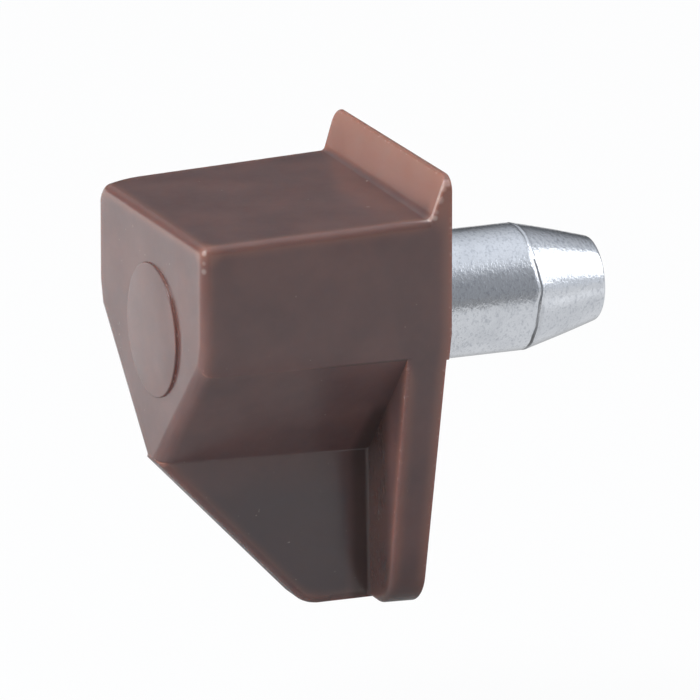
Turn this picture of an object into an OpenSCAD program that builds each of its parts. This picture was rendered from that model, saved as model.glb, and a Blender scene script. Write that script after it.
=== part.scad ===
// Shelf support pin: a moulded plastic bracket on a steel pin.
//
// The pin's straight shank is pushed into a hole in the cabinet side until the
// bracket's wall face meets the panel. The shelf rests on the seat, and the
// backstop lip keeps the shelf's end off the panel.
//
// Frame: the origin is on the pin's axis at the wall face, +X runs along the
// pin into the panel and +Z is up. Sections of the bracket are drawn square to
// X as (y, z), because the block is drafted to leave its mould towards -X.

/* [Pin] */
// Diameter of the pin, the size of the shelf hole
pin_d = 5; // [4:0.05:6]
// Straight length of the pin beyond the wall face
shank_len = 5; // [3:0.1:12]
// Length of the tapered nose
nose_len = 3.2; // [1:0.1:6]
// Diameter at the blunt end of the nose
nose_d = 3.4; // [1.5:0.1:3.7]
// Chamfer round the blunt end of the nose
nose_chamfer = 0.12; // [0.05:0.01:0.4]
// Step from the shank down to the root that the bracket is moulded round
root_step = 0.3; // [0.2:0.05:0.8]
// Length of the root inside the bracket
root_len = 7.8; // [5:0.1:8.8]
// Chamfer round the root's end
root_chamfer = 0.3; // [0.1:0.05:0.6]
// Distance from the wall face to the retaining groove in the root
groove_inset = 3.6; // [1.5:0.1:4]
// Width of the retaining groove
groove_w = 0.9; // [0.4:0.1:1]
// Depth of the retaining groove
groove_depth = 0.3; // [0.1:0.05:0.6]
// Gap between the root and the plastic moulded round it
root_clearance = 0; // [0:0.005:0.05]
// Gap round the shank at the mouth of its socket
mouth_gap = 0.1; // [0.05:0.05:0.4]

/* [Seat block] */
// Depth from the wall face to the front face
block_depth = 10.2; // [9.5:0.1:16]
// Width at the wall face
wall_w = 11.36; // [9.6:0.02:16]
// Narrowing from the wall face to the front face, both sides together
front_narrowing = 0.5; // [0:0.02:0.8]
// Height of the seat above the pin's axis, at the wall face
seat_h = 4.75; // [3.9:0.05:8]
// Fall of the seat from the wall face to the front face
seat_fall = 0.25; // [0:0.01:0.5]
// Height of the fold where the upright side turns into the flank, at the wall
fold_h = 0.12; // [-0.2:0.01:0.6]
// Rise of the fold from the wall face to the front face
fold_rise = 0.33; // [0:0.01:0.5]
// Angle of the flank from upright
flank_angle = 13.2; // [8:0.1:16]
// Depth of the shoulder, where the flank turns under, below the pin's axis
shoulder_depth = 0.76; // [0.5:0.01:1.5]
// Rise of the shoulder from the wall face to the front face
shoulder_rise = 0.06; // [0:0.01:0.3]
// Angle of the undercut V faces from upright
vee_angle = 43.5; // [38:0.5:50]
// Rounding of the front and top edges
edge_r = 0.32; // [0.1:0.02:0.6]
// Step at the mould's parting line, by which the plate and the front stand proud
parting_step = 0.02; // [0.01:0.01:0.05]

/* [Backstop lip] */
// Height of the lip above the seat, at the wall face
lip_h = 1.62; // [0.8:0.02:3]
// Thickness of the lip where it leaves the seat
lip_foot_t = 0.85; // [0.6:0.05:1.6]
// Thickness of the lip at its top
lip_top_t = 0.24; // [0.2:0.02:0.55]
// Rounding of the lip's two upper corners
lip_corner_r = 0.5; // [0.2:0.05:1]
// Fillet where the lip leaves the seat
lip_foot_r = 0.22; // [0.1:0.02:0.5]
// Rounding along the lip's top edge
lip_edge_r = 0.1; // [0.02:0.01:0.12]

/* [Back plate] */
// Depth of the foot below the pin's axis
foot_depth = 11.65; // [9:0.05:16]
// Thickness of the plate at its outer edges
plate_t = 1.76; // [1.3:0.02:2.6]
// Thinning of the plate from its outer edges to its middle
plate_draft = 0.22; // [0:0.02:0.4]
// Rounding of the foot's two lower corners
foot_corner_r = 1.2; // [0.4:0.1:1.8]
// Chamfer along the front of the foot
foot_edge = 0.2; // [0.05:0.05:0.4]
// Depth by which the lower part of the wall face is relieved
relief_t = 0.15; // [0.05:0.01:0.3]
// Depth below the pin's axis at which the relief starts
relief_depth = 0.96; // [0.5:0.02:2.4]

/* [Web] */
// Thickness of the web under the block
web_t = 1.7; // [1.2:0.1:3]
// Angle of the web's sloping edge below level
web_angle = 46.4; // [40:0.1:50]
// Rounding of the web's nose, at the foot of the front face
nose_r = 0.25; // [0.1:0.05:0.8]
// Height of the web's foot above the plate's foot
web_lift = 0.06; // [0.02:0.01:0.2]
// Rounding of the web's toe
toe_r = 1.1; // [0.4:0.1:1.6]
// Rounding along the web's lower edges
web_edge_r = 0.22; // [0.05:0.01:0.4]
// Fillet between the web and the plate
web_root_r = 0.36; // [0.1:0.02:0.6]
// Distance from the wall face to the front of the chamfers at the web's foot
heel_front = 2.9; // [2:0.1:3.4]
// Distance from the wall face to the back of those chamfers
heel_back = 1.4; // [1:0.1:1.6]
// Width of those chamfers
heel_chamfer = 0.34; // [0.1:0.02:0.5]

/* [Moulding mark] */
// Diameter of the raised disc on the front face
disc_d = 5.26; // [3:0.02:6.5]
// Height of the disc above the front face
disc_h = 0.13; // [0.05:0.01:0.3]
// Distance of the disc's centre to one side of the pin's axis
disc_shift = 0.3; // [-0.6:0.05:0.6]

/* [Hidden] */

// Steps in each rounded corner of a section
arc_steps = 6;
// Fragments of the turned and drilled surfaces
round_fn = 96;
// Thickness of the slices that a hull is drawn over
slice_t = 0.01;
// Overshoot that carries a cut past the surface it opens
past = 1;

flank_slope = tan(flank_angle);
vee_slope = tan(vee_angle);
web_slope = tan(web_angle);
lip_top_z = seat_h + lip_h;
lip_lean = atan((lip_foot_t - lip_top_t) / lip_h);
shank_r = pin_d / 2;
root_r = shank_r - root_step;
groove_r = root_r - groove_depth;
web_half = web_t / 2;

// A straight line from its value at the wall face to its change at the front face
function drafted(x, at_wall, change) = at_wall - change * x / block_depth;

// Half widths and heights of the block's section at x
function half_w(x) = drafted(x, wall_w / 2, -front_narrowing / 2);
function seat_z(x) = drafted(x, seat_h, -seat_fall);
function fold_z(x) = drafted(x, fold_h, fold_rise);
function shoulder_z(x) = drafted(x, -shoulder_depth, shoulder_rise);
function flank_w(x, z) = half_w(x) - flank_slope * (fold_z(x) - z);
function block_w(x) = half_w(x) - parting_step;
function shoulder_w(x) = flank_w(x, shoulder_z(x)) - parting_step;
function vee_z(x, w) = shoulder_z(x) - (shoulder_w(x) - w) / vee_slope;

// Front of the plate below the block, at a distance w from the middle
function plate_front(w) = plate_draft * (1 - w / (wall_w / 2)) - plate_t;

// Points along an arc, from one angle to another
function arc(centre, r, from, to) = [
    for (i = [0:arc_steps])
        let (turn = from + (to - from) * i / arc_steps)
        centre + r * [cos(turn), sin(turn)]
];

// How far a rounding of radius r starts from a corner that turns by an angle
function run_of(r, turn) = r * tan(turn / 2);

// A right-hand half outline and its mirror image, as one closed outline
function both_sides(half) =
    concat(half, [for (i = [len(half) - 1:-1:0]) [-half[i][0], half[i][1]]]);

// Section of the block: upright sides, narrow flanks, and V faces down to the web
function block_outline(x) = both_sides(concat(
    [
        [web_half, vee_z(x, web_half)],
        [shoulder_w(x), shoulder_z(x)],
        [block_w(x), fold_z(x)]
    ],
    arc([block_w(x) - edge_r, seat_z(x) - edge_r], edge_r, 0, 90)
));

// Section of the plate: from the foot, up the same flanks and sides, to the lip
function plate_outline(x) =
    let (foot_w = flank_w(x, -foot_depth) - run_of(foot_corner_r, 90 - flank_angle))
    both_sides(concat(
        arc([foot_w, foot_corner_r - foot_depth], foot_corner_r, -90, -flank_angle),
        [[half_w(x), fold_z(x)]],
        arc([half_w(x) - lip_corner_r, lip_top_z - lip_corner_r], lip_corner_r, 0, 90)
    ));

// Side view of the plate and the lip, as (x, z)
function plate_profile() =
    let (foot_x = -lip_foot_t - run_of(lip_foot_r, 90 - lip_lean),
         top_x = run_of(lip_edge_r, 90 - lip_lean) - lip_top_t)
    concat(
        [[past, -foot_depth - past], [past, lip_top_z]],
        arc([top_x, lip_top_z - lip_edge_r], lip_edge_r, 90, 180 - lip_lean),
        arc([foot_x, seat_z(foot_x) + lip_foot_r], lip_foot_r, -lip_lean, -90),
        [
            [foot_x, seat_z(foot_x) - past],
            [-plate_t, seat_z(foot_x) - past],
            [-plate_t, foot_edge - foot_depth],
            [foot_edge - plate_t, -foot_depth],
            [foot_edge - plate_t, -foot_depth - past]
        ]
    );

// Side view of the web, as (x, z): down the front face, along the slope, round the toe
function web_profile() =
    let (nose_x = parting_step - block_depth,
         nose_z = vee_z(-block_depth, web_half),
         nose_drop = run_of(nose_r, 90 - web_angle),
         toe_z = web_lift - foot_depth,
         toe_x = (nose_z - toe_z) / web_slope - block_depth)
    concat(
        [[-plate_t / 2, nose_z + web_t], [nose_x, nose_z + web_t]],
        arc([nose_x + nose_r, nose_z + nose_drop], nose_r, 180, 270 - web_angle),
        arc([toe_x + run_of(toe_r, web_angle), toe_z + toe_r], toe_r, 270 - web_angle, 270),
        [[-plate_t / 2, toe_z]]
    );

// Profile of the root, as (radius, x), from its blind end to the pin's shoulder
function root_points(gap) = [
    [0, -root_len - gap],
    [root_r - root_chamfer + gap, -root_len - gap],
    [root_r + gap, root_chamfer - root_len - gap],
    [root_r + gap, gap - groove_inset - groove_w],
    [groove_r + gap, gap - groove_inset - groove_w],
    [groove_r + gap, -groove_inset - gap],
    [root_r + gap, -groove_inset - gap],
    [root_r + gap, -relief_t]
];

// One thin slice of a section, standing square to X
module slice(x, outline, inset = 0) {
    translate([x, 0, 0])
        rotate([90, 0, 90])
            linear_extrude(slice_t)
                offset(delta = -inset)
                    polygon(outline);
}

// An (x, z) outline carried across the bracket by a width in Y
module across(width) {
    rotate([90, 0, 0])
        linear_extrude(width, center = true)
            children();
}

// A (radius, x) profile turned about the pin's axis
module turned() {
    rotate([0, 90, 0])
        rotate_extrude($fn = round_fn)
            children();
}

// A shape and its mirror image on the other side of the web
module both_flanks() {
    children();
    mirror([0, 1, 0])
        children();
}

// The drafted block under the shelf, rounded all round its front face
module seat_block() {
    hull() {
        slice(past, block_outline(past));
        for (turn = [0:15:90]) {
            x = edge_r * (1 - cos(turn)) - block_depth;
            slice(x, block_outline(x), edge_r * (1 - sin(turn)));
        }
    }
}

// The tapered plate against the wall, with the backstop lip at its top
module back_plate() {
    difference() {
        intersection() {
            hull() {
                slice(past, plate_outline(past));
                slice(-plate_t, plate_outline(-plate_t));
            }
            across(wall_w + 2 * past)
                polygon(plate_profile());
        }
        plate_thinning();
    }
}

// The cut that thins the plate towards its middle, below the block
module plate_thinning() {
    translate([0, 0, -foot_depth - past])
        linear_extrude(foot_depth + past - shoulder_depth)
            polygon([
                [-plate_t - past, -wall_w / 2],
                [-plate_t, -wall_w / 2],
                [plate_front(0), 0],
                [-plate_t, wall_w / 2],
                [-plate_t - past, wall_w / 2]
            ]);
}

// The central web that braces the plate under the block
module web() {
    hull()
        for (turn = [0:22.5:90], side = [-1, 1])
            translate([0, side * (web_half - slice_t / 2 - web_edge_r * (1 - sin(turn))), 0])
                across(slice_t)
                    offset(delta = web_edge_r * (cos(turn) - 1))
                        polygon(web_profile());
}

// The fillet between one side of the web and the plate
module web_root() {
    foot_z = heel_chamfer / 2 - foot_depth;
    top_z = vee_z(0, web_half) + web_root_r;
    translate([plate_front(web_half), web_half, foot_z])
        linear_extrude(top_z - foot_z)
            difference() {
                translate([-web_root_r, -web_half / 2])
                    square([web_root_r + plate_t / 2, web_half / 2 + web_root_r]);
                translate([-web_root_r, web_root_r])
                    circle(web_root_r, $fn = round_fn);
            }
}

// The chamfer under one side of the web, where it runs into the plate
module heel_cut() {
    width = web_root_r + heel_chamfer;
    translate([-heel_front, web_half - heel_chamfer, -foot_depth])
        rotate([90, 0, 90])
            linear_extrude(heel_front - heel_back)
                polygon([[-past, -past], [width, -past], [width, width]]);
}

// The raised round mark on the front face, level with the pin and a little to one side
module front_disc() {
    translate([-block_depth - disc_h, -disc_shift, 0])
        rotate([0, 90, 0])
            cylinder(h = disc_h + past, d = disc_d, $fn = round_fn);
}

// Everything beyond the wall face, which steps back over its lower part
module wall_space() {
    across(wall_w + 2 * past)
        polygon([
            [0, lip_top_z + past],
            [0, -relief_depth],
            [-relief_t, -relief_depth],
            [-relief_t, -foot_depth - past],
            [2 * past, -foot_depth - past],
            [2 * past, lip_top_z + past]
        ]);
}

// The blind socket that the plastic leaves round the pin's root
module socket() {
    turned()
        polygon(concat(
            root_points(root_clearance),
            [
                [shank_r + mouth_gap, -relief_t],
                [shank_r + mouth_gap, past],
                [0, past]
            ]
        ));
}

// The moulded plastic bracket, in one piece
module bracket() {
    color("saddlebrown")
        difference() {
            union() {
                seat_block();
                back_plate();
                web();
                both_flanks()
                    web_root();
                front_disc();
            }
            both_flanks()
                heel_cut();
            wall_space();
            socket();
        }
}

// The turned steel pin: grooved root, shoulder, straight shank and tapered nose
module pin() {
    color("silver")
        turned()
            polygon(concat(
                root_points(0),
                [
                    [shank_r, -relief_t],
                    [shank_r, shank_len],
                    [nose_d / 2, shank_len + nose_len - nose_chamfer],
                    [nose_d / 2 - nose_chamfer, shank_len + nose_len],
                    [0, shank_len + nose_len]
                ]
            ));
}

bracket();
pin();
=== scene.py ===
# %% [markdown]
# # A shelf support in Blender
#
# The object is a small shelf support: a brown plastic bracket, moulded round the
# root of a plated steel pin. The pin is pushed into a hole in the side of a
# cabinet, and the shelf rests on the bracket's flat seat.
#
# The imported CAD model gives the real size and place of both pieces. This lesson
# builds a finer visible mesh for each, gives them their finishes, and lights
# them for a plain product view. The frame is the CAD's own, in metres: +X runs
# along the pin into the panel, and +Z is up.

# %% Load the frame
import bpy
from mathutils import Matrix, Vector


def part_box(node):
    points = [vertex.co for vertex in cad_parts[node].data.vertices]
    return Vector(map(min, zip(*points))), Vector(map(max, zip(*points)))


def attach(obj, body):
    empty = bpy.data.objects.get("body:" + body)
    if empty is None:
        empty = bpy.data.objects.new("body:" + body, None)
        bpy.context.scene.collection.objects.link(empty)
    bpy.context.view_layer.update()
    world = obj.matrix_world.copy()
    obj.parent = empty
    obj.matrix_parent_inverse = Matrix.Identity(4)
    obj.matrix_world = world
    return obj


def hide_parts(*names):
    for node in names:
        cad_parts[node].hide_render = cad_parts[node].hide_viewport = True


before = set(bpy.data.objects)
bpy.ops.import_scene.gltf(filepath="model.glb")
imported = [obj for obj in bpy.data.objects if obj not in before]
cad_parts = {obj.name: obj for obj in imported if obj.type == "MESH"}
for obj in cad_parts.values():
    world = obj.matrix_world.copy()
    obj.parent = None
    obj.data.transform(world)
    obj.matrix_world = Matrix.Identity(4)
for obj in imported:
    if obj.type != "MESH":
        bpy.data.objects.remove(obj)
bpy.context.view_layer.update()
print("nodes:", sorted(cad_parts))

# %% Other modules
from math import cos, hypot, pi, radians, sin, tan

import bmesh
import bpy
from mathutils import Matrix, Vector

# %% [markdown]
# ## Main sizes
#
# A moulding is drawn in millimetres, so the meshes are too, and each is scaled
# to metres once, when it is finished. The overall sizes come from the packed
# model's boxes. The smaller ones are the moulding's own walls and angles.

# %% Sizes taken from the frame
MM = 0.001
bracket_low, bracket_high = (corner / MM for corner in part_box("bracket"))
pin_low, pin_high = (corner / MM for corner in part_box("pin"))

DISC_RAISED = 0.13
DEPTH = -bracket_low.x - DISC_RAISED
WALL_HALF = bracket_high.y
LIP_TOP = bracket_high.z
FOOT = bracket_low.z
SHANK_R = 2.5
NOSE_END = pin_high.x
ROOT_END = pin_low.x
print(f"block {DEPTH:.2f} deep, {2 * WALL_HALF:.2f} wide, foot {FOOT:.2f}, lip {LIP_TOP:.2f}")

# %% Walls, slopes and heights of the moulding
# The seat, the fold and the shoulder each have a height at the wall face and a
# change from there to the front face.
FRONT_NARROWING = 0.25
SEAT_AT_WALL, SEAT_FALL = 4.75, 0.25
FOLD_AT_WALL, FOLD_RISE = 0.12, 0.33
SHOULDER_AT_WALL, SHOULDER_RISE = -0.76, 0.06
FLANK_SLOPE = tan(radians(13.2))
VEE_SLOPE = tan(radians(43.5))
WEB_SLOPE = tan(radians(46.4))
WEB_HALF = 0.85
PLATE_T, PLATE_DRAFT, PLATE_TAPER = 1.76, 0.22, 0.2
LIP_FOOT_T, LIP_TOP_T = 0.85, 0.26
LIP_FOOT_TAPER, LIP_TOP_TAPER = 0.2, 0.11
RELIEF_T, RELIEF_TOP, RELIEF_AT_FOOT = 0.11, -0.96, 0.03
PLATE_FOOT_RISE = 0.08
print(f"web {2 * WEB_HALF:.2f} thick, plate {PLATE_T:.2f}, lip {LIP_FOOT_T:.2f} to {LIP_TOP_T:.2f}")

# %% [markdown]
# ## Drafted faces
#
# A moulding tapers a little, so that it leaves its mould. Every flat of this
# bracket therefore drifts in a straight line from the wall face to the front
# face, and a small function gives each one at any depth x.

# %% Half widths and heights at a depth x
def drifted(x, at_wall, change):
    return at_wall - change * x / DEPTH


def half_width(x):
    return drifted(x, WALL_HALF, -FRONT_NARROWING)


def seat(x):
    return drifted(x, SEAT_AT_WALL, -SEAT_FALL)


def fold(x):
    return drifted(x, FOLD_AT_WALL, FOLD_RISE)


def shoulder(x):
    return drifted(x, SHOULDER_AT_WALL, SHOULDER_RISE)


def flank(x, z):
    return half_width(x) - FLANK_SLOPE * (fold(x) - z)


def vee(x, width):
    return shoulder(x) - (flank(x, shoulder(x)) - width) / VEE_SLOPE


def plate_front(width, z):
    return PLATE_DRAFT * (1 - width / WALL_HALF) + PLATE_TAPER * z / FOOT - PLATE_T


def plate_edge(z):
    """Depth at which the plate's sloping front meets its flank, at a height z."""
    x = -PLATE_T
    for _ in range(4):
        x = plate_front(flank(x, z), z)
    return x


# %% [markdown]
# ## The bare form
#
# The bracket could be joined from several solids with booleans, but their flush
# sides leave slivers that spoil the rounding later. It has only a few flats, so
# they are drawn straight off as polygons round named corners. Half of them lie
# on one side and are mirrored, and the rest cross the middle.
#
# Each flat also keeps the name of its face, as the number of a material slot.
# The names decide later how much each edge is rounded.

# %% A mesh built from polygons in millimetres
FACES = ("front", "seat", "side", "flank", "vee", "web", "slope", "plate",
         "foot", "lip", "top", "wall", "step", "back")


def mirrored(points):
    """The same points on the near side of the bracket, in the opposite order."""
    return tuple((x, -y, z) for x, y, z in reversed(points))


class Form:
    """Named polygons that share their corners."""

    def __init__(self):
        self.mesh = bmesh.new()
        self.corners = {}

    def corner(self, point):
        key = tuple(round(value, 6) for value in point)
        if key not in self.corners:
            self.corners[key] = self.mesh.verts.new(point)
        return self.corners[key]

    def flat(self, name, points):
        face = self.mesh.faces.new([self.corner(point) for point in points])
        face.material_index = FACES.index(name)

    def on_both_sides(self, name, *points):
        self.flat(name, points)
        self.flat(name, mirrored(points))

    def over_the_middle(self, name, *points):
        self.flat(name, points + mirrored(points))


# %% Corners of the bare form
front_seat = (-DEPTH, half_width(-DEPTH), seat(-DEPTH))
front_fold = (-DEPTH, half_width(-DEPTH), fold(-DEPTH))
front_shoulder = (-DEPTH, flank(-DEPTH, shoulder(-DEPTH)), shoulder(-DEPTH))
nose = (-DEPTH, WEB_HALF, vee(-DEPTH, WEB_HALF))
toe = ((nose[2] - FOOT) / WEB_SLOPE - DEPTH, WEB_HALF, FOOT)

root_z = vee(-PLATE_T, WEB_HALF)
root_top = (plate_front(WEB_HALF, root_z), WEB_HALF, root_z)
root_foot = (plate_front(WEB_HALF, FOOT), WEB_HALF, FOOT)
plate_shoulder_x = plate_edge(SHOULDER_AT_WALL)
plate_shoulder = (
    plate_shoulder_x,
    flank(plate_shoulder_x, shoulder(plate_shoulder_x)),
    shoulder(plate_shoulder_x),
)
plate_foot_x = plate_edge(FOOT)
plate_foot = (plate_foot_x, flank(plate_foot_x, FOOT), FOOT + PLATE_FOOT_RISE)

back_foot = (-RELIEF_AT_FOOT, flank(-RELIEF_AT_FOOT, FOOT), FOOT)
relief_back = (-RELIEF_T, flank(-RELIEF_T, RELIEF_TOP), RELIEF_TOP)
relief_wall = (0, flank(0, RELIEF_TOP), RELIEF_TOP)
wall_fold = (0, half_width(0), fold(0))
wall_top = (0, half_width(0), LIP_TOP)
lip_top = (-LIP_TOP_T, half_width(-LIP_TOP_T), LIP_TOP)
lip_foot = (-LIP_FOOT_T, half_width(-LIP_FOOT_T), seat(-LIP_FOOT_T))
thin_top_x, thin_foot_x = LIP_TOP_TAPER - LIP_TOP_T, LIP_FOOT_TAPER - LIP_FOOT_T
thin_lip_top = (thin_top_x, half_width(thin_top_x), LIP_TOP)
thin_lip_foot = (thin_foot_x, half_width(thin_foot_x), seat(thin_foot_x))


# %% Polygons of the bare form
def bare_bracket():
    form = Form()
    form.flat("side", (front_seat, front_fold, wall_fold, wall_top, thin_lip_top, thin_lip_foot))
    form.flat("side", mirrored((front_seat, front_fold, wall_fold, wall_top, lip_top, lip_foot)))
    form.on_both_sides("flank", front_fold, front_shoulder, plate_shoulder, plate_foot,
                       back_foot, relief_back, relief_wall, wall_fold)
    form.on_both_sides("vee", front_shoulder, nose, root_top, plate_shoulder)
    form.on_both_sides("plate", root_top, root_foot, plate_foot, plate_shoulder)
    form.on_both_sides("web", nose, toe, root_foot, root_top)
    form.flat("seat", (front_seat, thin_lip_foot) + mirrored((front_seat, lip_foot)))
    form.flat("lip", (thin_lip_foot, thin_lip_top) + mirrored((lip_foot, lip_top)))
    form.flat("top", (thin_lip_top, wall_top) + mirrored((lip_top, wall_top)))
    form.over_the_middle("wall", wall_top, wall_fold, relief_wall)
    form.over_the_middle("step", relief_wall, relief_back)
    form.over_the_middle("back", relief_back, back_foot)
    form.over_the_middle("foot", back_foot, plate_foot, root_foot)
    form.over_the_middle("foot", root_foot, toe)
    form.over_the_middle("slope", toe, nose)
    form.over_the_middle("front", nose, front_shoulder, front_fold, front_seat)
    bmesh.ops.recalc_face_normals(form.mesh, faces=form.mesh.faces)
    return form.mesh


bracket_mesh = bare_bracket()
print("bare form:", len(bracket_mesh.verts), "corners,", len(bracket_mesh.faces), "flats")

# %% [markdown]
# ## Rounded edges
#
# Every edge of a moulding is rounded, and how much depends on the two faces
# that meet there: the outer edges are generous, and those along the mould's
# parting line stay crisp. The widest corners are rounded first, one kind at a
# time. The new faces take the name of a neighbour, so the table of face pairs
# still finds every edge for the second round, in which one modifier rounds
# them all together and blends the corners where three of them meet.

# %% Round the widest corners
def pair(edge):
    return {FACES[face.material_index] for face in edge.link_faces}


def setback(radius, turn):
    """How far from an edge a rounding starts on each face, when the faces turn by an angle."""
    return radius * tan(turn / 2)


def round_first(mesh, face, other, radius, steps):
    """Rounds the edges between two kinds of face. The new faces are named as the first."""
    edges = [edge for edge in mesh.edges if pair(edge) == {face, other}]
    turn = abs(edges[0].calc_face_angle_signed())
    bmesh.ops.bevel(
        mesh, geom=edges, offset=setback(radius, turn), offset_type="OFFSET", profile=0.5,
        segments=steps, affect="EDGES", clamp_overlap=False, material=FACES.index(face),
    )


FOOT_CORNER_R, TOE_R, LIP_CORNER_R = 1.7, 1.0, 0.6
round_first(bracket_mesh, "foot", "flank", FOOT_CORNER_R, 14)
round_first(bracket_mesh, "slope", "foot", TOE_R, 8)
round_first(bracket_mesh, "top", "side", LIP_CORNER_R, 10)
print("after the wide corners:", len(bracket_mesh.faces), "faces")

# %% Radius of every other edge, by the faces that meet there
EDGE_RADIUS = {
    ("front", "seat"): 0.3,
    ("front", "side"): 0.36,
    ("front", "flank"): 0.42,
    ("front", "vee"): 0.6,
    ("front", "slope"): 0.34,
    ("seat", "side"): 0.3,
    ("side", "lip"): 0.1,
    ("lip", "top"): 0.1,
    ("side", "wall"): 0.06,
    ("top", "wall"): 0.06,
    ("seat", "lip"): 0.3,
    ("flank", "vee"): 0.16,
    ("flank", "plate"): 0.2,
    ("flank", "back"): 0.08,
    ("flank", "wall"): 0.06,
    ("vee", "web"): 0.2,
    ("web", "plate"): 0.16,
    ("web", "slope"): 0.28,
    ("web", "foot"): 0.14,
    ("plate", "foot"): 0.2,
    ("foot", "back"): 0.08,
    ("wall", "step"): 0.03,
    ("step", "back"): 0.03,
}
WIDEST = 0.6
SHARP = radians(20)


def mark_edges(mesh):
    """Writes each edge's share of the widest bevel, for the Bevel modifier to read."""
    radius_of = {frozenset(names): radius for names, radius in EDGE_RADIUS.items()}
    share = mesh.edges.layers.float.new("bevel_weight_edge")
    for edge in mesh.edges:
        turn = abs(edge.calc_face_angle_signed())
        radius = radius_of.get(frozenset(pair(edge)), 0)
        if radius and turn > SHARP:
            edge[share] = setback(radius, turn) / WIDEST


mark_edges(bracket_mesh)

# %% Make the object and round its edges
def new_piece(name, mesh):
    """A mesh drawn in millimetres, as an object in metres."""
    data = bpy.data.meshes.new(name)
    mesh.to_mesh(data)
    mesh.free()
    piece = bpy.data.objects.new(name, data)
    bpy.context.scene.collection.objects.link(piece)
    return piece


def apply_modifiers(piece):
    bpy.context.view_layer.update()
    shaped = piece.evaluated_get(bpy.context.evaluated_depsgraph_get())
    data = bpy.data.meshes.new_from_object(shaped)
    piece.modifiers.clear()
    piece.data = data


bracket = new_piece("moulded_bracket", bracket_mesh)
rounding = bracket.modifiers.new("rounding", "BEVEL")
rounding.limit_method = "WEIGHT"
rounding.offset_type = "OFFSET"
rounding.width = WIDEST
rounding.segments = 5
rounding.use_clamp_overlap = False
rounding.loop_slide = False
apply_modifiers(bracket)
print("rounded bracket:", len(bracket.data.polygons), "faces")

# %% [markdown]
# ## The soft corner
#
# One upper corner of the front face is much rounder than the others. The rounding
# along the top edge grows towards it, over the last 1.8 millimetres.
#
# A bevel has the same width along its whole edge, so this one is pressed into the
# mesh instead. The faces near the corner are cut into a fine grid, and each of its
# points moves in onto an arc. The arc's radius grows with the square of how near
# the point is to the front.

# %% Press the far upper corner rounder
EDGE_R, CORNER_R, CORNER_RUN = 0.3, 1.0, 1.8
CORNER_INSET, CORNER_GRID, CORNER_CUTS = 0.9, 1.0, 12
SEAT_ZONE, SIDE_ZONE, LIP_ZONE = 4.2, 5, -1


def cut_faces(mesh, chosen, point, direction):
    """Cuts the chosen faces along a plane."""
    faces = [face for face in mesh.faces if chosen(face.calc_center_median())]
    around = set(faces)
    for face in faces:
        around.update(face.edges, face.verts)
    bmesh.ops.bisect_plane(mesh, geom=list(around), plane_co=point, plane_no=direction)


def press_corner(piece):
    mesh = bmesh.new()
    mesh.from_mesh(piece.data)
    inner_y, inner_z = half_width(-DEPTH) - CORNER_INSET, seat(-DEPTH) - CORNER_INSET
    inner = Vector((CORNER_RUN - DEPTH, inner_y, inner_z))

    def along_edge(centre):
        return centre.y > inner.y and centre.z > inner.z

    def near_corner(centre):
        return along_edge(centre) and centre.x < inner.x

    cut_faces(mesh, lambda centre: centre.z > SEAT_ZONE and centre.x < LIP_ZONE, inner, (0, 1, 0))
    cut_faces(mesh, lambda centre: centre.y > SIDE_ZONE, inner, (0, 0, 1))
    cut_faces(mesh, along_edge, inner, (1, 0, 0))
    for k in range(1, CORNER_CUTS):
        for axis, reach in ((0, CORNER_RUN), (1, -CORNER_GRID), (2, -CORNER_GRID)):
            direction = Vector([float(i == axis) for i in range(3)])
            cut_faces(mesh, near_corner, inner - direction * reach * k / CORNER_CUTS, direction)
    for point in mesh.verts:
        x, y, z = point.co
        depth = x + DEPTH
        share = max(0, 1 - depth / CORNER_RUN)
        radius = EDGE_R + (CORNER_R - EDGE_R) * share * share
        in_y, in_z = radius - half_width(x) + y, radius - seat(x) + z
        if share > 0 and in_y > 0 and in_z > 0 and z < seat(x) + 0.01:
            step = max(0, EDGE_R - depth)
            level = EDGE_R - (EDGE_R ** 2 - step ** 2) ** 0.5
            scale = (radius - level) / (in_y ** 2 + in_z ** 2) ** 0.5
            point.co.y += in_y * (min(scale, 1) - 1)
            point.co.z += in_z * (min(scale, 1) - 1)
    mesh.to_mesh(piece.data)
    mesh.free()


press_corner(bracket)
print("with the soft corner:", len(bracket.data.polygons), "faces")

# %% [markdown]
# ## The mark, the heel and the socket
#
# A shallow round mark stands proud of the front face, where the mould has an
# insert in line with the pin. Under the web, next to the plate, a short chamfer
# eases its lower edges. Inside, the plastic has closed round the pin's grooved
# root, which is what holds the two together.
#
# These are few and simple, so they are joined to the rounded form and cut out of
# it with exact booleans. The round ones are turned about the X axis.

# %% Turned shapes
ROUND_STEPS = 128


def turned(profile, steps, wander=None):
    """Turns (x, radius) points about the X axis. The profile starts and ends on the axis."""
    mesh = bmesh.new()
    rings = []
    for x, radius in profile:
        ring = []
        for i in range(steps if radius else 1):
            angle = 2 * pi * i / steps
            along, out = wander(x, angle) if wander and radius else (0, 0)
            ring.append(mesh.verts.new((
                x + along, (radius + out) * cos(angle), (radius + out) * sin(angle),
            )))
        rings.append(ring)
    for ring, following in zip(rings, rings[1:]):
        for i in range(steps):
            corners = (ring[i % len(ring)], ring[(i + 1) % len(ring)],
                       following[(i + 1) % len(following)], following[i % len(following)])
            mesh.faces.new(dict.fromkeys(corners))
    bmesh.ops.recalc_face_normals(mesh, faces=mesh.faces)
    return mesh


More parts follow.
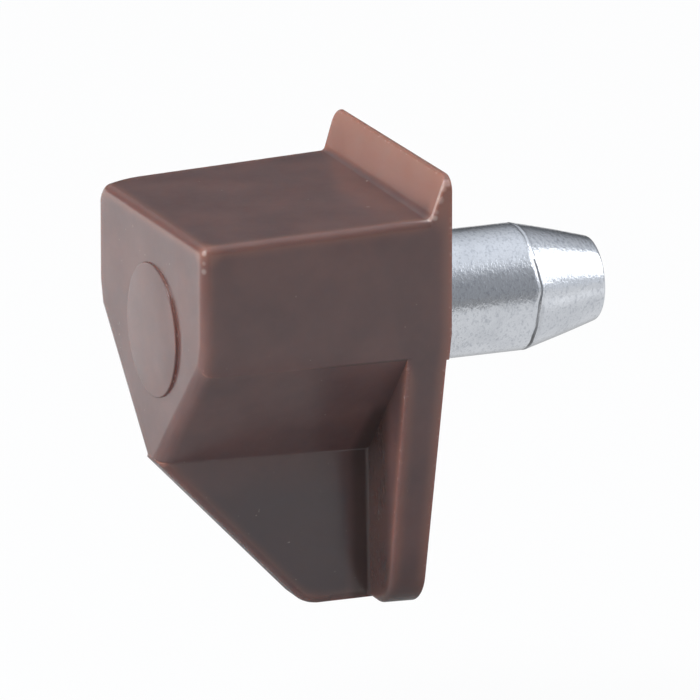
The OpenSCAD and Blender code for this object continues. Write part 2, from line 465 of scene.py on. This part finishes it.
def eased(corners, steps=6):
    """(x, radius, rounding) corners as (x, radius) points, with an arc at each rounded one."""
    points = []
    for i, (x, radius, rounding) in enumerate(corners):
        here = Vector((x, radius))
        if not rounding:
            points.append((x, radius))
            continue
        back = (Vector(corners[i - 1][:2]) - here).normalized()
        ahead = (Vector(corners[i + 1][:2]) - here).normalized()
        half = back.angle(ahead) / 2
        centre = here + (back + ahead).normalized() * rounding / sin(half)
        start = (here + back * rounding / tan(half) - centre).normalized()
        end = (here + ahead * rounding / tan(half) - centre).normalized()
        points += [tuple(centre + rounding * start.slerp(end, k / steps)) for k in range(steps + 1)]
    return points


def combine(piece, mesh, operation):
    """Joins a mesh to a piece, or cuts it away."""
    tool = new_piece("tool", mesh)
    change = piece.modifiers.new("change", "BOOLEAN")
    change.operation = operation
    change.solver = "EXACT"
    change.object = tool
    apply_modifiers(piece)
    bpy.data.objects.remove(tool)


# %% The round mark on the front face
DISC_R, DISC_RIM, DISC_SHIFT, DISC_TILT = 2.63, 0.05, -0.3, radians(1.1)
DISC_ROOT = 0.5
disc_face = -DEPTH - DISC_RAISED
disc = turned(eased([
    (DISC_ROOT - DEPTH, 0, 0),
    (DISC_ROOT - DEPTH, DISC_R, 0),
    (disc_face, DISC_R, DISC_RIM),
    (disc_face, 0, 0),
]), ROUND_STEPS)
tilt = Matrix.Rotation(-DISC_TILT, 3, "Z")
bmesh.ops.rotate(disc, cent=(disc_face, -DISC_R, 0), matrix=tilt, verts=disc.verts)
bmesh.ops.translate(disc, vec=(0, DISC_SHIFT, 0), verts=disc.verts)
combine(bracket, disc, "UNION")
print("with the round mark:", len(bracket.data.polygons), "faces")

# %% The chamfers under the web
HEEL_FRONT, HEEL_BACK, HEEL_WIDE, HEEL_HIGH, HEEL_RUN = -3.0, -1.5, 0.11, 0.34, 0.5
CUT_SPARE = 0.2


def heel_cut(side):
    """A wedge that takes off one lower edge of the web, and fades out at its front."""
    steep = HEEL_HIGH / HEEL_WIDE
    rise = CUT_SPARE * steep
    section = ((-HEEL_WIDE - CUT_SPARE, -rise), (CUT_SPARE, -rise), (CUT_SPARE, HEEL_HIGH + rise))
    stations = ((HEEL_FRONT - HEEL_RUN, -HEEL_HIGH), (HEEL_FRONT, 0), (HEEL_BACK, 0))
    mesh = bmesh.new()
    rings = [
        [mesh.verts.new((x, side * (WEB_HALF + y), FOOT + z + lift)) for y, z in section]
        for x, lift in stations
    ]
    for ring, following in zip(rings, rings[1:]):
        for i in range(3):
            j = (i + 1) % 3
            mesh.faces.new((ring[i], ring[j], following[j], following[i]))
    mesh.faces.new(rings[0])
    mesh.faces.new(rings[-1])
    bmesh.ops.recalc_face_normals(mesh, faces=mesh.faces)
    return mesh


for side in (-1, 1):
    combine(bracket, heel_cut(side), "DIFFERENCE")
print("with the heel chamfers:", len(bracket.data.polygons), "faces")

# %% The socket round the pin's root
ROOT_R, GROOVE_R, ROOT_CHAMFER = 2.2, 1.9, 0.3
GROOVE_START, GROOVE_W, MOUTH_GAP, PAST_WALL = -3.6, 0.9, 0.1, 1
root_profile = [
    (ROOT_END, 0, 0),
    (ROOT_END, ROOT_R - ROOT_CHAMFER, 0),
    (ROOT_END + ROOT_CHAMFER, ROOT_R, 0),
    (GROOVE_START - GROOVE_W, ROOT_R, 0),
    (GROOVE_START - GROOVE_W, GROOVE_R, 0),
    (GROOVE_START, GROOVE_R, 0),
    (GROOVE_START, ROOT_R, 0),
    (-RELIEF_T, ROOT_R, 0),
]
socket = turned(eased(root_profile + [
    (-RELIEF_T, SHANK_R + MOUTH_GAP, 0),
    (PAST_WALL, SHANK_R + MOUTH_GAP, 0),
    (PAST_WALL, 0, 0),
]), ROUND_STEPS)
combine(bracket, socket, "DIFFERENCE")
print("with the socket:", len(bracket.data.polygons), "faces")

# %% [markdown]
# ## Shading and handing over
#
# The flats should look flat and the roundings smooth. Smooth shading alone bends
# the light over the large flats, so weighted normals let the large faces decide,
# and only the small faces of the roundings blend.

# %% Finish a piece
CREASE = radians(38)


def finish_piece(piece, node):
    """Scales a piece to metres, shades it, and hands it to the frame in place of its node."""
    data = piece.data
    data.transform(Matrix.Scale(MM, 4))
    data.shade_smooth()
    data.set_sharp_from_angle(angle=CREASE)
    for face in data.polygons:
        face.material_index = 0
    weighted = piece.modifiers.new("weighted_normals", "WEIGHTED_NORMAL")
    weighted.keep_sharp = True
    apply_modifiers(piece)
    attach(piece, "root")
    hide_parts(node)
    print(piece.name, len(piece.data.polygons), "faces, stands for", node)


finish_piece(bracket, "bracket")

# %% [markdown]
# ## The pin
#
# The pin is turned from steel rod and plated. Its straight shank ends in a
# tapered nose that finds the hole, and where the two meet the tool has left a
# thin, uneven groove. The root inside the plastic is a little thinner, with a
# groove of its own.
#
# A spun profile alone would be too perfect. The rings of the mesh are closest
# round the groove, and there a few sine waves and one larger step move them.
# Where the groove is deep, an attribute marks its points, and the plating's
# material darkens them there, as grime and as painted shade in the groove.

# %% The pin's profile
NOSE_START, NOSE_R, NOSE_ROUND, NOSE_BULGE = 5.0, 1.66, 0.13, 0.02
SEAM_HALF, SEAM_DEPTH, DARK_SEAM_REACH = 0.07, 0.06, 0.2
END_FLAT_R, END_DISH_R, END_DISH, END_DISH_EDGE = 1.1, 0.5, 0.05, 0.04
PIN_STEPS = 192


def nose_point(t):
    """A point along the nose: a cone that swells slightly in the middle."""
    x = NOSE_START + SEAM_HALF + t * (NOSE_END - NOSE_START - SEAM_HALF)
    return x, SHANK_R + t * (NOSE_R - SHANK_R) + NOSE_BULGE * sin(pi * t), 0


pin_profile = root_profile + [(-RELIEF_T, SHANK_R, 0.03)]
pin_profile += [(NOSE_START * k / 12, SHANK_R, 0) for k in range(1, 12)]
pin_profile += [(NOSE_START + step * SEAM_HALF, SHANK_R - depth * SEAM_DEPTH, 0)
                for step, depth in ((-3, 0), (-1.3, 0), (-1, 0.1), (-0.5, 0.8), (0, 1), (0.5, 0.7))]
pin_profile += [nose_point(t) for t in [0, 0.015] + [k / 14 for k in range(1, 14)]]
pin_profile += [(NOSE_END, NOSE_R, NOSE_ROUND), (NOSE_END, END_FLAT_R, 0),
                (NOSE_END - END_DISH_EDGE, END_DISH_R, 0), (NOSE_END - END_DISH, 0, 0)]

# %% The uneven groove
WANDER_REACH, KINK, KINK_ANGLE, KINK_WIDTH = 0.6, 0.15, 2.95, 0.22
BELL_BASE = 2.718


def seam_wander(x, angle):
    """How far a ring near the seam moves along and out, at an angle about the pin."""
    near = max(0, 1 - abs(x - NOSE_START) / WANDER_REACH)
    kink = KINK * BELL_BASE ** -(((angle - KINK_ANGLE) / KINK_WIDTH) ** 2)
    drift = 0.02 * sin(3 * angle + 1) + 0.014 * sin(8 * angle) + 0.01 * sin(19 * angle + 2)
    filled = 0.6 + 0.4 * sin(angle) + 0.25 * sin(9 * angle + 1)
    in_seam = abs(x - NOSE_START) < 0.8 * SEAM_HALF
    return near * (kink + drift), 0.6 * SEAM_DEPTH * max(0, filled) if in_seam else 0


pin = new_piece("plated_pin", turned(eased(pin_profile), PIN_STEPS, seam_wander))
dark_seam = pin.data.attributes.new("dark_seam", "FLOAT", "POINT")
for point, mark in zip(pin.data.vertices, dark_seam.data):
    deep = (SHANK_R - hypot(point.co.y, point.co.z)) / SEAM_DEPTH
    mark.value = min(1, max(0, deep)) if abs(point.co.x - NOSE_START) < DARK_SEAM_REACH else 0
finish_piece(pin, "pin")

# %% [markdown]
# ## Nodes as arithmetic
#
# Both finishes are procedural: every tone and every change of gloss is worked out
# in the shader, at sizes given in millimetres. A node graph is hard to read as
# code, so one small class holds a socket and lets it be used in ordinary
# arithmetic. Each operation adds the Math node it needs.

# %% A socket that can be used in expressions
class Wire:
    """A node's output. Arithmetic on it adds Math nodes, and node() adds any other."""

    def __init__(self, tree, socket=None):
        self.tree = tree
        self.socket = socket

    def node(self, kind, settings, inputs, output=0):
        """Adds a node: its settings first, then the values or links of its sockets."""
        node = self.tree.nodes.new("ShaderNode" + kind)
        for name, value in settings.items():
            setattr(node, name, value)
        for name, value in inputs.items():
            plug(self.tree, node.inputs[name], value)
        return Wire(self.tree, node.outputs[output])

    def math(self, operation, *values):
        return self.node("Math", {"operation": operation}, dict(enumerate(values)))

    def __add__(self, other):
        return self.math("ADD", self, other)

    def __sub__(self, other):
        return self.math("SUBTRACT", self, other)

    def __rsub__(self, other):
        return self.math("SUBTRACT", other, self)

    def __mul__(self, other):
        return self.math("MULTIPLY", self, other)

    __radd__ = __add__
    __rmul__ = __mul__

    def absolute(self):
        return self.math("ABSOLUTE", self)

    def rising(self, low, high):
        """0 below the low value, 1 above the high one, and smooth between."""
        return self.node("MapRange", {"interpolation_type": "SMOOTHSTEP"},
                         {"Value": self, "From Min": low, "From Max": high})

    def falling(self, low, high):
        """1 below the low value, 0 above the high one, and smooth between."""
        return 1 - self.rising(low, high)

    def between(self, first, second):
        """The first colour where this is 0, and the second where it is 1."""
        return self.node("Mix", {"data_type": "RGBA"}, {0: self, 6: first, 7: second}, 2)

    def axis(self, name):
        """One coordinate of this point."""
        return self.node("SeparateXYZ", {}, {"Vector": self}, name)

    def vector(self, operation, other, output="Value"):
        """Vector Math on this vector and another. It gives a number unless told otherwise."""
        return self.node("VectorMath", {"operation": operation}, {0: self, 1: other}, output)

    def noise(self, size, detail=2.0, roughness=0.5):
        """Noise of about 0 to 1 at this point, whose blobs are this size."""
        return self.node("TexNoise", {}, {
            "Vector": self, "Scale": 1 / size, "Detail": detail, "Roughness": roughness,
        })

    def bump(self, distance, under=None):
        """A normal from this height, on top of another bump if there is one."""
        inputs = {"Height": self, "Distance": distance * MM}
        if under:
            inputs["Normal"] = under
        return self.node("Bump", {}, inputs)


def plug(tree, socket, value):
    """Links a wire to a socket, or sets the socket's plain value."""
    if isinstance(value, Wire):
        tree.links.new(value.socket, socket)
    else:
        socket.default_value = value


# %% Colours and materials
def rgb(red, green, blue):
    return (red, green, blue, 1)


def new_material(name):
    """A material, its tree as a Wire, and the surface point in millimetres."""
    material = bpy.data.materials.new(name)
    material.use_nodes = True
    tree = Wire(material.node_tree)
    position = tree.node("TexCoord", {}, {}, "Object")
    point = tree.node("VectorMath", {"operation": "SCALE"}, {0: position, "Scale": 1 / MM})
    return material, tree, point


def feed(nodes, name, inputs):
    """Gives one of a tree's own nodes its values and links."""
    for socket, value in inputs.items():
        plug(nodes, nodes.nodes[name].inputs[socket], value)


def finish_with(piece, material):
    piece.data.materials.clear()
    piece.data.materials.append(material)
    print(piece.name, "has", material.name, "of", len(material.node_tree.nodes), "nodes")


# %% [markdown]
# ## The plastic
#
# The bracket is brown nylon, half glossy. A finish like this is mostly in its
# small faults: the tone drifts a little, the gloss is uneven, the skin has a faint
# orange peel, and a few specks and scuffs have gone pale. Some pale marks on the
# near edges are painted highlights, and the web, the line under the shoulder and
# the plate next to the web are darkened with painted shade.
#
# Brown nylon also lets some light through where its wall is thin, so the lip and
# the edges look redder than the block. Real translucency would be slow and hard to
# steer on its own, so there is only a little of it. An Ambient Occlusion node that
# looks inwards tells how thin the wall is, and that number mixes in a redder brown:
# the light that comes through is painted into the colour.

# %% The plastic's colours
BROWN = rgb(0.100, 0.055, 0.052)
BROWN_LIGHT = rgb(0.112, 0.060, 0.055)
BROWN_DARK = rgb(0.086, 0.049, 0.047)
# Painted light: redder browns for the glow of light through thin edges and the lip.
BACKLIT_LIP_GLOW = rgb(0.235, 0.118, 0.090)
BACKLIT_EDGE_GLOW = rgb(0.200, 0.095, 0.074)
# Painted shade for the crease under the shoulder and the plate next to the web.
PAINTED_CREASE_SHADE = rgb(0.040, 0.026, 0.024)
# Painted shade and a painted cool reflection for the web's flat.
WEB_COOL_SHADE = rgb(0.058, 0.044, 0.047)
# Pale wear, also used as a painted highlight along the edges.
SCUFF_AND_HIGHLIGHT = rgb(0.42, 0.33, 0.30)
DUST_AND_GLINT = rgb(0.40, 0.34, 0.31)

# %% Small pale marks: a place, a radius and a strength. The specks are dust, the corner marks are painted highlights, and the lip marks are wear and a painted highlight
SPECKS = (
    ((-0.95, 0.55, 4.75), 0.06, 0.9),
    ((-2.31, -2.82, 4.80), 0.16, 0.35),
    ((-3.63, 5.25, 4.80), 0.20, 0.6),
)
CORNER_GLINTS = (
    ((-10.11, -5.33, 4.32), 0.16, 0.55),
    ((-10.12, -5.34, 3.92), 0.12, 0.25),
    ((-10.12, -5.34, 3.60), 0.16, 0.35),
)
LIP_WEAR_AND_GLINTS = (
    ((-0.72, -5.62, 4.80), 0.16, 0.5),
    ((-0.66, -5.62, 5.02), 0.14, 0.25),
    ((-0.50, -5.62, 5.48), 0.20, 0.35),
    ((-0.36, -5.62, 5.90), 0.16, 0.3),
)


def marked(point, marks):
    """How strongly a point is marked."""
    total = 0
    for place, radius, strength in marks:
        away = point.vector("DISTANCE", place)
        total = total + strength * away.falling(0.3 * radius, radius)
    return total


# %% Edges and thin walls
EDGE_SPREAD, THIN_DEPTH = 0.3, 0.85


def along_edges(tree, radius):
    """1 along edges and 0 on flats: where a rounded normal leaves the true one."""
    true = tree.node("NewGeometry", {}, {}, "Normal")
    rounded = tree.node("Bevel", {"samples": 8}, {"Radius": radius * MM})
    return (1 - true.vector("DOT_PRODUCT", rounded)).rising(0.004, 0.05)


def thin_section(tree, depth):
    """0 on thick walls, and nearer to 1 the less plastic there is under the surface."""
    solid = tree.node("AmbientOcclusion", {"inside": True, "only_local": True, "samples": 12},
                      {"Distance": depth * MM}, "AO")
    return 1 - solid


# %% Where each tone belongs
plastic, tree, point = new_material("brown_nylon")
along, across, height = (point.axis(name) for name in "XYZ")
from_side = across + (WALL_HALF + FRONT_NARROWING / DEPTH * along)
from_wear = height - (SEAT_AT_WALL - SEAT_FALL / DEPTH * along)
from_crease = (height - (SHOULDER_AT_WALL - 0.02 - SHOULDER_RISE / DEPTH * along)).absolute()
across = across.absolute()
near_lip = along.rising(-1.6, -0.9)

# The crown of the near seat edge, where a shelf rubs, paled as wear and as a painted
# highlight. The seat falls towards the front but this plane rises, so the pale line
# ends about three millimetres out.
crown = from_wear.rising(-0.16, -0.08) * from_side.rising(0.02, 0.07)
crown = crown * from_side.falling(0.15, 0.24) * along.falling(-0.12, -0.04)
# The flat of the web, darker and cooler in tone as painted shade and a painted cool reflection.
web = across.falling(0.87, 1.0) * along.falling(-2.6, -1.9) * height.falling(-7.5, -5.3)
# Painted shade: the dark line under the shoulder, near the plate.
crease_shade = from_crease.falling(0.015, 0.07) * across.rising(4.0, 5.0)
crease_shade = crease_shade * along.rising(-6.6, -4.0) * along.falling(-1.9, -1.5)
# Painted shade on the plate's front, close to the web.
root = across.falling(2.6, 3.6) * along.rising(-2.4, -1.9) * height.falling(-2.5, -1.0)
# Thin walls, apart from the raised mark, and a little less on the plate.
thin = thin_section(tree, THIN_DEPTH) * along.rising(-10.28, -10.2)
thin = thin * (0.85 + 0.15 * height.rising(-3.0, 0.0))
# The lip's share of the painted glow of light through thin walls.
lip_glow = thin.rising(0.5, 1.0) * (0.2 + 0.8 * height.rising(4.9, 6.3))
print("masks made with", len(plastic.node_tree.nodes), "nodes")

# %% The plastic's tone
drift = point.noise(2.6, 3).rising(0.3, 0.7)
mottle = point.noise(0.35, 3).rising(0.35, 0.75)
broken = point.noise(0.22, 4, 0.65)
specks = point.noise(0.13, 1).rising(0.79, 0.83)
# Pale edge wear, which also stands in for a painted sheen along the edges.
worn_edges_and_sheen = (along_edges(tree, EDGE_SPREAD) * broken).rising(0.52, 0.68)
worn_edges_and_sheen = worn_edges_and_sheen * thin.rising(0.1, 0.25) * height.rising(-10.5, -9.5)
crown_scuff_and_highlight = crown * (0.16 + 0.45 * near_lip) * (0.4 + broken)
dust_and_glints = 0.4 * specks + marked(point, SPECKS + CORNER_GLINTS + LIP_WEAR_AND_GLINTS)

tone = drift.between(BROWN_DARK, BROWN_LIGHT)
tone = (0.45 * mottle).between(tone, BROWN)
# Painted shade and a painted cool reflection on the web.
tone = (0.8 * web).between(tone, WEB_COOL_SHADE)
# Painted light: the thin edges and the lip glow redder, as if lit through.
tone = thin.rising(0.08, 0.5).between(tone, BACKLIT_EDGE_GLOW)
tone = lip_glow.between(tone, BACKLIT_LIP_GLOW)
# Painted shade in the crease and on the plate next to the web.
tone = (0.7 * crease_shade + 0.75 * root).between(tone, PAINTED_CREASE_SHADE)
# Dust, and painted highlights at the near corner and along the lip's edge.
tone = dust_and_glints.between(tone, DUST_AND_GLINT)
# Wear and a painted highlight along the edges and on the near seat crown.
tone = (0.35 * worn_edges_and_sheen + crown_scuff_and_highlight).between(tone, SCUFF_AND_HIGHLIGHT)

# %% The plastic's gloss and skin
WAVE_HEIGHT, PEEL_HEIGHT = 0.06, 0.004
smudge = point.noise(1.7, 4, 0.6).rising(0.35, 0.7)
gloss = 0.17 + 0.05 * smudge + 0.03 * mottle + 0.14 * worn_edges_and_sheen
waves = point.noise(3.1, 1).bump(WAVE_HEIGHT)
skin = point.noise(0.24, 2).bump(PEEL_HEIGHT, under=waves)
feed(plastic.node_tree, "Principled BSDF", {
    "Base Color": tone, "Roughness": gloss, "Normal": skin, "IOR": 1.58,
    "Subsurface Weight": 0.5, "Subsurface Scale": 0.7 * MM, "Subsurface Radius": (1.0, 0.35, 0.22),
})
finish_with(bracket, plastic)

# %% [markdown]
# ## The plating
#
# The steel has a bright zinc plating. What tells it from a mirror is its grain:
# fine grey specks and a faintly uneven surface, with larger patches that are
# duller. Turning leaves its marks round a pin and not along it, so the noise is
# read at a point squeezed along the X axis, and each speck comes out narrower
# along the pin than round it.

# %% The plating's material
ZINC = rgb(0.77, 0.80, 0.85)
ZINC_DARK = rgb(0.42, 0.45, 0.51)
SEAM_DIRT_AND_SHADE = rgb(0.12, 0.115, 0.11)
SQUEEZE = (1.5, 1.0, 1.0)
STREAK_HEIGHT, GRAIN_HEIGHT = 0.008, 0.013

plating, tree, point = new_material("bright_zinc")
squeezed = point.vector("MULTIPLY", SQUEEZE, "Vector")
streak = squeezed.noise(0.40, 3, 0.6)
grain = squeezed.noise(0.17, 2, 0.7)
patch = point.noise(1.4, 3).rising(0.4, 0.7)
grey = 0.15 * patch + 0.15 * streak.rising(0.5, 0.75) + 0.4 * grain.rising(0.5, 0.68)
seam_grime_and_shade = tree.node("Attribute", {"attribute_name": "dark_seam"}, {}, "Fac")
# Grime and painted shade in the groove at the seam.
tone = (0.8 * seam_grime_and_shade).between(grey.between(ZINC, ZINC_DARK), SEAM_DIRT_AND_SHADE)
gloss = 0.16 + 0.06 * patch + 0.08 * grain
skin = grain.bump(GRAIN_HEIGHT, under=streak.bump(STREAK_HEIGHT))
feed(plating.node_tree, "Principled BSDF", {
    "Base Color": tone, "Roughness": gloss, "Metallic": 1.0, "Normal": skin,
})
finish_with(pin, plating)

# %% [markdown]
# ## The floor
#
# A small product is often held a little above a white floor, so that its own
# shadow falls softly and out of the way. To the camera the floor is nearly plain
# white, and the light it throws back is that of real paper.
#
# The bright pin is only what it reflects. In a real studio small cards and the
# object's own shade change the white that it sees, so for reflections the floor is
# painted by place: painted shade close under the object and just behind it, a
# painted bright patch at a card on the right, and painted dark far out in front and
# to the left.

# %% Floor
FLOOR_Z, FLOOR_HALF, PAPER = -0.019, 3.0, rgb(0.60, 0.62, 0.65)
SEEN_WHITE = 0.93
CARD_PATCH_SPOT = (55, -38, 0)

floor_data = bpy.data.meshes.new("floor")
floor_data.from_pydata([(x * FLOOR_HALF, y * FLOOR_HALF, FLOOR_Z)
                        for x, y in ((-1, -1), (1, -1), (1, 1), (-1, 1))], [], [(0, 1, 2, 3)])
floor = bpy.data.objects.new("floor", floor_data)
bpy.context.scene.collection.objects.link(floor)

# %% How bright the floor is in a reflection
paper, tree, point = new_material("white_paper")
right, back = (point.axis(name) for name in "XY")
away = point.vector("DISTANCE", (0, 0, 0))
# Painted shade and light on the floor, seen only in reflections.
shade = away.falling(14, 45) * right.falling(4, 9)
shade_behind = back.rising(10, 18) * away.falling(45, 60)
painted_card_patch = point.vector("DISTANCE", CARD_PATCH_SPOT).falling(14, 36)
far_in_front = away.rising(96, 104) * back.falling(0, 40) * (right + 0.6 * back).falling(0, 40)
level = 0.74 - 0.46 * shade - 0.2 * shade_behind + 0.35 * painted_card_patch
level = level + 0.25 * back.rising(30, 60) - 0.5 * far_in_front

# %% The paper's material
feed(paper.node_tree, "Principled BSDF", {"Base Color": PAPER, "Roughness": 0.9})
camera_ray = tree.node("LightPath", {}, {}, "Is Camera Ray")
glossy_ray = tree.node("LightPath", {}, {}, "Is Glossy Ray")
lit = Wire(paper.node_tree, paper.node_tree.nodes["Principled BSDF"].outputs[0])
white = tree.node("Emission", {}, {"Color": rgb(1, 1, 1), "Strength": 1.0})
black = tree.node("Emission", {}, {"Color": rgb(0, 0, 0), "Strength": 0.0})
reflected = tree.node("MixShader", {}, {0: level, 1: black, 2: white})
surface = tree.node("MixShader", {}, {0: glossy_ray, 1: lit, 2: reflected})
surface = tree.node("MixShader", {}, {0: SEEN_WHITE * camera_ray, 1: surface, 2: white})
feed(paper.node_tree, "Material Output", {"Surface": surface})
floor_data.materials.append(paper)
print("floor at", FLOOR_Z, "with", len(paper.node_tree.nodes), "nodes")

# %% [markdown]
# ## The surroundings
#
# The world is a room that is brightest overhead, lighter on the right, which the
# nose of the pin looks at, and nearly dark low down behind the object. The camera
# sees it as plain white. Reflections and light see the room itself.

# %% World
world = bpy.data.worlds.new("studio")
bpy.context.scene.world = world
world.use_nodes = True
tree = Wire(world.node_tree)
direction = tree.node("TexCoord", {}, {}, "Generated")
overhead = direction.vector("DOT_PRODUCT", (0.10, 0.25, 0.96))
behind = direction.vector("DOT_PRODUCT", (0.39, 0.92, 0.0))
beside = direction.vector("DOT_PRODUCT", (1.0, 0.6, 0.0))
level = 0.31 + 0.45 * beside.rising(0.05, 0.35) * behind.falling(-0.2, 0.0)
level = level - 0.24 * behind.rising(0.2, 0.8) + 0.62 * overhead.rising(0.4, 1.0)
camera_ray = tree.node("LightPath", {}, {}, "Is Camera Ray")
feed(world.node_tree, "Background", {
    "Color": camera_ray.between(rgb(0.95, 0.98, 1.03), rgb(1, 1, 1)),
    "Strength": camera_ray + (1 - camera_ray) * level,
})
print("world of", len(world.node_tree.nodes), "nodes")

# %% [markdown]
# ## Softboxes and camera
#
# Three softboxes stand round the object. One on the left lights the front face,
# one above it the seat and the lip, and a larger one on the right makes the white
# band on the pin's nose. Each is given by its direction from the object, its size
# and its brightness, where 1 is a white surface in full light.
#
# The left one is low and strong, so from some sides the seat would mirror it and
# turn white. It is therefore hidden from reflections, and only lights.

# %% Softboxes
TARGET = Vector((-1.81, 0.17, -1.87)) * MM
SOFTBOX_DISTANCE = 0.6


def softbox(name, direction, width, height, brightness):
    lamp = bpy.data.lights.new(name, "AREA")
    lamp.shape = "RECTANGLE"
    lamp.size, lamp.size_y = width, height
    lamp.energy = brightness * pi * width * height
    stand = bpy.data.objects.new(name, lamp)
    bpy.context.scene.collection.objects.link(stand)
    away = Vector(direction).normalized()
    stand.location = TARGET + SOFTBOX_DISTANCE * away
    stand.rotation_euler = away.to_track_quat("Z", "Y").to_euler()
    stand.visible_camera = False
    print(name, "of", f"{lamp.energy:.2f}", "W")
    return stand


left_softbox = softbox("left_softbox", (-0.95, -0.13, 0.28), 0.22, 0.22, 25.0)
left_softbox.visible_glossy = False
softbox("top_left_softbox", (-0.45, -0.14, 0.88), 0.2, 0.2, 14.0)
softbox("right_softbox", (0.83, -0.25, 0.5), 0.38, 0.42, 2.0)

# %% Camera
AZIMUTH, ELEVATION, DISTANCE = radians(-22.61), radians(16.12), 0.45
LENS, SENSOR, NEAREST = 597.86, 36, 0.01
towards = Vector((sin(AZIMUTH) * cos(ELEVATION), -cos(AZIMUTH) * cos(ELEVATION), sin(ELEVATION)))
camera_data = bpy.data.cameras.new("camera")
camera_data.sensor_width, camera_data.lens, camera_data.clip_start = SENSOR, LENS, NEAREST
camera = bpy.data.objects.new("camera", camera_data)
bpy.context.scene.collection.objects.link(camera)
camera.location = TARGET + DISTANCE * towards
camera.rotation_euler = (pi / 2 - ELEVATION, 0, AZIMUTH)
bpy.context.scene.camera = camera
bpy.context.scene.view_settings.view_transform = "Standard"
